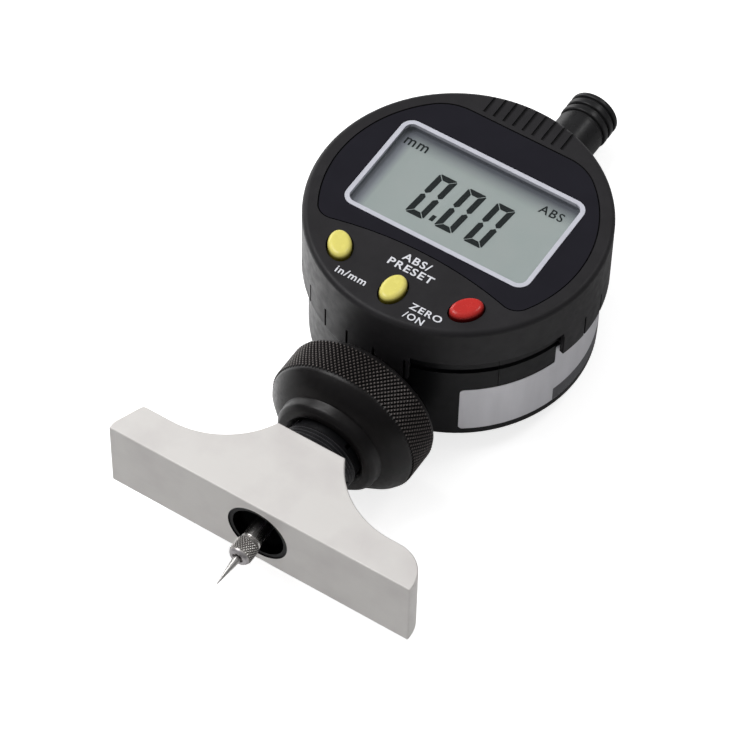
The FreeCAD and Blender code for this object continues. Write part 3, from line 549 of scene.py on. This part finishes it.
# Pieces
def finished(name, mesh, material, body):
    """Turns a mesh drawn in the gauge's frame into a piece that rides on a body."""
    bmesh.ops.recalc_face_normals(mesh, faces=mesh.faces)
    bmesh.ops.transform(mesh, matrix=gauge_to_scene, verts=mesh.verts)
    data = bpy.data.meshes.new(name)
    mesh.to_mesh(data)
    mesh.free()
    data.materials.append(material)
    data.shade_smooth()
    data.set_sharp_from_angle(angle=math.radians(crease_angle))
    piece = bpy.data.objects.new(name, data)
    bpy.context.scene.collection.objects.link(piece)
    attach(piece, body)
    return piece


def spun(mesh, parts, turn, steps, axis=(0, 1, 0), centre=(0, 0, 0), **choices):
    bmesh.ops.spin(mesh, geom=parts, cent=centre, axis=axis, angle=turn, steps=steps, **choices)


def section(mesh, points):
    return mesh.faces.new([mesh.verts.new(point) for point in points])


def on_spindle(radius, y, angle):
    return Vector((radius * math.cos(angle), y, radius * math.sin(angle)))


def raised_diamond(mesh, floor, depth, y, angle, half_height, half_turn):
    """One raised diamond of a knurl, as its faces."""
    diamond = section(mesh, [on_spindle(floor, y, angle - half_turn),
                             on_spindle(floor, y - half_height, angle),
                             on_spindle(floor, y, angle + half_turn),
                             on_spindle(floor, y + half_height, angle)])
    top = bmesh.ops.extrude_discrete_faces(mesh, faces=[diamond])["faces"][0]
    middle = Matrix.Translation(-on_spindle(floor, y, angle))
    bmesh.ops.scale(mesh, verts=top.verts, vec=(knurl_flat, knurl_flat, knurl_flat), space=middle)
    bmesh.ops.translate(mesh, verts=top.verts, vec=on_spindle(depth, 0, angle))
    return [top] + [face for edge in top.edges for face in edge.link_faces if face is not top]


def half_diamond(mesh, floor, y, inner_y, angle, half_turn):
    """A flat half of a diamond at the knurl's edge, as its face."""
    return [section(mesh, [on_spindle(floor, y, angle - half_turn), on_spindle(floor, y, angle),
                           on_spindle(floor, y, angle + half_turn), on_spindle(floor, inner_y, angle)])]


def knurl(mesh, radius, depth, start, end, count, rows):
    """Rows of raised diamonds round the spindle, each row half a diamond on from the one before."""
    floor = radius - depth
    height = (end - start) / rows
    half_turn = math.pi / count
    for row in range(rows + 1):
        y = start + row * height
        angle = half_turn * ((row + 1) % 2)
        if row == 0:
            cell = half_diamond(mesh, floor, y, y + height, angle, half_turn)
        elif row == rows:
            cell = half_diamond(mesh, floor, y, y - height, angle, half_turn)
        else:
            cell = raised_diamond(mesh, floor, depth, y, angle, height, half_turn)
        spun(mesh, cell, 2 * half_turn * (count - 1), count - 1, use_duplicate=True)


def knurled_turning(radius, depth, start, end, count, rows, outline):
    """A turned piece with a diamond knurl. Its outline (radius, y) runs from the knurl's end to its start."""
    mesh = bmesh.new()
    knurl(mesh, radius, depth, start, end, count, rows)
    floor = radius - depth
    points = [mesh.verts.new((at, y, 0)) for at, y in [(floor, end), *outline, (floor, start)]]
    edges = [mesh.edges.new(pair) for pair in zip(points, points[1:])]
    spun(mesh, points + edges, 2 * math.pi, 2 * count, use_merge=True)
    bmesh.ops.remove_doubles(mesh, verts=mesh.verts, dist=knurl_join)
    return mesh


nut = finished("knurled_nut", knurled_turning(nut_radius, nut_knurl_depth, nut_knurl_start, nut_knurl_end,
                                              nut_knurl_count, nut_knurl_rows, nut_outline),
               nut_black, "nut")
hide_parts("clamp_nut")
holder = finished("knurled_holder", knurled_turning(holder_radius, holder_knurl_depth, holder_knurl_start,
                                                    holder_knurl_end, holder_knurl_count, holder_knurl_rows,
                                                    holder_outline), holder_steel, "plunger")
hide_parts("contact_holder")


def collar_thread():
    """The ridge of the collar's thread, wound round the collar."""
    mesh = bmesh.new()
    ridge = section(mesh, [on_spindle(thread_root_radius, thread_start, 0),
                           on_spindle(thread_crest_radius, thread_start + thread_pitch / 2, 0),
                           on_spindle(thread_root_radius, thread_start + thread_pitch, 0)])
    spun(mesh, [ridge], 2 * math.pi * thread_turns, round(thread_turns * thread_steps_per_turn),
         dvec=(0, thread_pitch / thread_steps_per_turn, 0))
    return mesh


finished("collar_thread", collar_thread(), collar_black, "housing")


def coil_spring():
    """The return spring's round wire, wound from the carrier to the frame's ear."""
    mesh = bmesh.new()
    rise = spring_end - spring_start - 2 * spring_wire_radius
    steps = spring_turns * spring_steps_per_turn
    first = Matrix.Translation((spring_mean_radius, spring_start + spring_wire_radius, 0))
    bmesh.ops.create_circle(mesh, cap_ends=True, radius=spring_wire_radius, segments=spring_wire_sides,
                            matrix=first)
    spun(mesh, mesh.faces[:], 2 * math.pi * spring_turns, steps, dvec=(0, rise / steps, 0))
    return mesh


spring = finished("coil_spring", coil_spring(), spring_steel, "housing")
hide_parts("return_spring")
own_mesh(spring)


def printed_shape(mesh, corners, z):
    """Adds a thin raised print over a flat outline, from corners (x, y) measured from the dial's centre."""
    flat = section(mesh, [(x, dial_y + y, z) for x, y in corners])
    raised = bmesh.ops.extrude_face_region(mesh, geom=[flat])["geom"]
    raised_corners = [part for part in raised if isinstance(part, bmesh.types.BMVert)]
    bmesh.ops.translate(mesh, verts=raised_corners, vec=(0, 0, print_thickness))


def zero_segments():
    """The six lit segments of a nought, upright and centred."""
    w, h, t, g = digit_half_width, digit_half_height, segment_width, segment_gap
    near = (segment_corner_cut - segment_gap) / 2
    far = (segment_corner_cut + segment_gap) / 2
    top = [(-w + segment_corner_cut, h), (w - segment_corner_cut, h), (w - far, h - near),
           (w - t - g, h - t), (-w + t + g, h - t), (-w + far, h - near)]
    upper = [(-w, h - segment_corner_cut), (-w + near, h - far), (-w + t, h - t - g),
             (-w + t, g + segment_tip_inside * t), (-w + segment_tip_middle * t, g),
             (-w, g + segment_tip_outside * t)]
    shapes = []
    for flip in (1, -1):
        shapes.append([(x, flip * y) for x, y in top])
        for side in (1, -1):
            shapes.append([(side * x, flip * y) for x, y in upper])
    return shapes


def display_figures():
    mesh = bmesh.new()
    for centre in digit_centres:
        for shape in zero_segments():
            slanted = [(centre + x + y * digit_slant, digit_middle_y + y) for x, y in shape]
            printed_shape(mesh, slanted, glass_z)
    w, h = point_half_width, point_half_height
    point = [(point_x + x + y * digit_slant, point_y + y) for x, y in ((-w, -h), (w, -h), (w, h), (-w, h))]
    printed_shape(mesh, point, glass_z)
    return mesh


finished("display_figures", display_figures(), segment_dark, "display_head")


def lettering(name, words, left, right, low, high, z, weight, material):
    """A word printed on the dial, filling a box measured from the dial's centre."""
    curve = bpy.data.curves.new(name, "FONT")
    curve.body = words
    curve.offset = weight
    curve.space_character = letter_spacing
    curve.extrude = letter_half_depth
    curve.resolution_u = letter_curve_steps
    writer = bpy.data.objects.new(name + "_curve", curve)
    bpy.context.scene.collection.objects.link(writer)
    bpy.context.view_layer.update()
    flat = bpy.data.meshes.new_from_object(writer)
    bpy.data.objects.remove(writer)
    mesh = bmesh.new()
    mesh.from_mesh(flat)
    bpy.data.meshes.remove(flat)
    bmesh.ops.remove_doubles(mesh, verts=mesh.verts, dist=letter_join)
    xs = [vertex.co.x for vertex in mesh.verts]
    ys = [vertex.co.y for vertex in mesh.verts]
    thinning = print_thickness / (2 * letter_half_depth)
    stretch = ((right - left) / (max(xs) - min(xs)), (high - low) / (max(ys) - min(ys)), thinning)
    bmesh.ops.translate(mesh, verts=mesh.verts, vec=(-min(xs), -min(ys), letter_half_depth))
    bmesh.ops.scale(mesh, verts=mesh.verts, vec=stretch)
    bmesh.ops.translate(mesh, verts=mesh.verts, vec=(left, dial_y + low, z))
    finished(name, mesh, material, "display_head")


def on_display(name, words, left, right, low, high):
    lettering(name, words, left, right, low, high, glass_z, display_letter_weight, segment_dark)


def on_face(name, words, left, right, low, high):
    lettering(name, words, left, right, low, high, face_z, face_letter_weight, letter_white)


on_display("word_mm", "mm", left=-17.7, right=-12.85, low=9.15, high=10.8)
on_display("word_abs", "ABS", left=11.5, right=16.4, low=8.75, high=10.75)
on_face("word_units", "in/mm", left=-11.15, right=-4.85, low=-24.35, high=-22.75)
on_face("word_preset_high", "ABS/", left=-2.6, right=3.1, low=-15.35, high=-13.65)
on_face("word_preset_low", "PRESET", left=-4.35, right=5.0, low=-17.6, high=-15.9)
on_face("word_zero_high", "ZERO", left=4.45, right=10.95, low=-24.15, high=-22.65)
on_face("word_zero_low", "/ON", left=4.4, right=8.45, low=-26.35, high=-24.85)


def label_field():
    """The plain dark field printed along the side label's lower edge."""
    mesh = bmesh.new()
    outer_radius = label_radius + print_thickness
    start = section(mesh, [(label_radius, dial_y, label_field_low_z),
                           (outer_radius, dial_y, label_field_low_z),
                           (outer_radius, dial_y, label_field_high_z),
                           (label_radius, dial_y, label_field_high_z)])
    middle = (0, dial_y, 0)
    bmesh.ops.rotate(mesh, verts=start.verts, cent=middle,
                     matrix=Matrix.Rotation(math.radians(label_field_start), 3, "Z"))
    spun(mesh, [start], math.radians(label_field_end - label_field_start), label_field_steps,
         axis=(0, 0, 1), centre=middle)
    return mesh


finished("label_field", label_field(), label_dark, "housing")


# Floor, light and camera
def floor():
    """A pale floor that glows for the camera. In reflections it is bright to the left and dim far off."""
    mesh = bmesh.new()
    bmesh.ops.create_grid(mesh, x_segments=1, y_segments=1, size=floor_half_size)
    data = bpy.data.meshes.new("floor")
    mesh.to_mesh(data)
    mesh.free()
    material = bpy.data.materials.new("pale_floor")
    material.use_nodes = True
    tree = material.node_tree
    shader = tree.nodes["Principled BSDF"]
    noise = tree.nodes.new("ShaderNodeTexNoise")
    noise.inputs["Scale"].default_value = 6.0
    coordinates = tree.nodes.new("ShaderNodeTexCoord")
    parts = tree.nodes.new("ShaderNodeSeparateXYZ")
    tree.links.new(coordinates.outputs["Object"], parts.inputs["Vector"])
    path = tree.nodes.new("ShaderNodeLightPath")
    mirrored = path.outputs["Is Glossy Ray"]
    far = ramp_node(tree, parts.outputs["Y"], far_floor_start, far_floor_full)
    left = ramp_node(tree, parts.outputs["X"], left_floor_start, left_floor_full, high=left_floor_glow)
    pale = blend_node(tree, noise.outputs["Fac"], floor_grey, floor_grey_patch)
    dimming = math_node(tree, "MULTIPLY", math_node(tree, "MULTIPLY", far, mirrored), far_floor_dimming)
    tree.links.new(blend_node(tree, dimming, pale, (0.0, 0.0, 0.0, 1.0)), shader.inputs["Base Color"])
    past_base = ramp_node(tree, parts.outputs["Y"], past_base_start, past_base_full)
    glow_in_gloss = math_node(tree, "MULTIPLY_ADD", past_base, left, floor_glow_in_gloss)
    seen = math_node(tree, "MULTIPLY", path.outputs["Is Camera Ray"], floor_glow)
    glow = math_node(tree, "MULTIPLY_ADD", glow_in_gloss, mirrored, seen)
    tree.links.new(glow, shader.inputs["Emission Strength"])
    shader.inputs["Emission Color"].default_value = (1.0, 1.0, 1.0, 1.0)
    shader.inputs["Roughness"].default_value = 0.9
    shader.inputs["Specular IOR Level"].default_value = 0.1
    data.materials.append(material)
    plane = bpy.data.objects.new("floor", data)
    bpy.context.scene.collection.objects.link(plane)


def softbox(name, place, width, height, power):
    """A soft lamp that points at the gauge's middle."""
    data = bpy.data.lights.new(name, "AREA")
    data.shape = "RECTANGLE"
    data.size = width
    data.size_y = height
    data.energy = power
    light = bpy.data.objects.new(name, data)
    light.location = place
    light.rotation_euler = (Vector(lit_middle) - Vector(place)).to_track_quat("-Z", "Y").to_euler()
    bpy.context.scene.collection.objects.link(light)


def surroundings():
    """White where the camera sees it, and a soft room that is brighter above for light and reflections."""
    world = bpy.data.worlds.new("room")
    bpy.context.scene.world = world
    world.use_nodes = True
    tree = world.node_tree
    tree.nodes.clear()
    output = tree.nodes.new("ShaderNodeOutputWorld")
    choose = tree.nodes.new("ShaderNodeMixShader")
    path = tree.nodes.new("ShaderNodeLightPath")
    room = tree.nodes.new("ShaderNodeBackground")
    white = tree.nodes.new("ShaderNodeBackground")
    coordinates = tree.nodes.new("ShaderNodeTexCoord")
    parts = tree.nodes.new("ShaderNodeSeparateXYZ")
    tree.links.new(coordinates.outputs["Generated"], parts.inputs["Vector"])
    strength = ramp_node(tree, parts.outputs["Z"], room_low_height, room_high_height, room_low, room_high)
    tree.links.new(strength, room.inputs["Strength"])
    tree.links.new(path.outputs["Is Camera Ray"], choose.inputs["Fac"])
    tree.links.new(room.outputs["Background"], choose.inputs[1])
    tree.links.new(white.outputs["Background"], choose.inputs[2])
    tree.links.new(choose.outputs["Shader"], output.inputs["Surface"])


def camera():
    data = bpy.data.cameras.new("camera")
    data.sensor_width = 36.0
    data.lens = camera_lens
    data.clip_start = 0.01
    data.clip_end = 20.0
    item = bpy.data.objects.new("camera", data)
    turn = Matrix((camera_right, camera_up, camera_back)).transposed()
    place = Matrix.Translation(gauge_to_scene @ Vector(camera_eye))
    item.matrix_world = place @ (gauge_turn @ turn).to_4x4()
    bpy.context.scene.collection.objects.link(item)
    bpy.context.scene.camera = item


floor()
softbox("key", place=(-0.5, 0.0, 0.85), width=0.6, height=0.6, power=6.3)
softbox("left", place=(-0.8, 0.35, 0.2), width=0.5, height=0.35, power=1.5)
softbox("back", place=(0.35, 0.65, 0.8), width=0.3, height=0.3, power=1.8)
surroundings()
camera()
bpy.context.scene.view_settings.view_transform = "Standard"
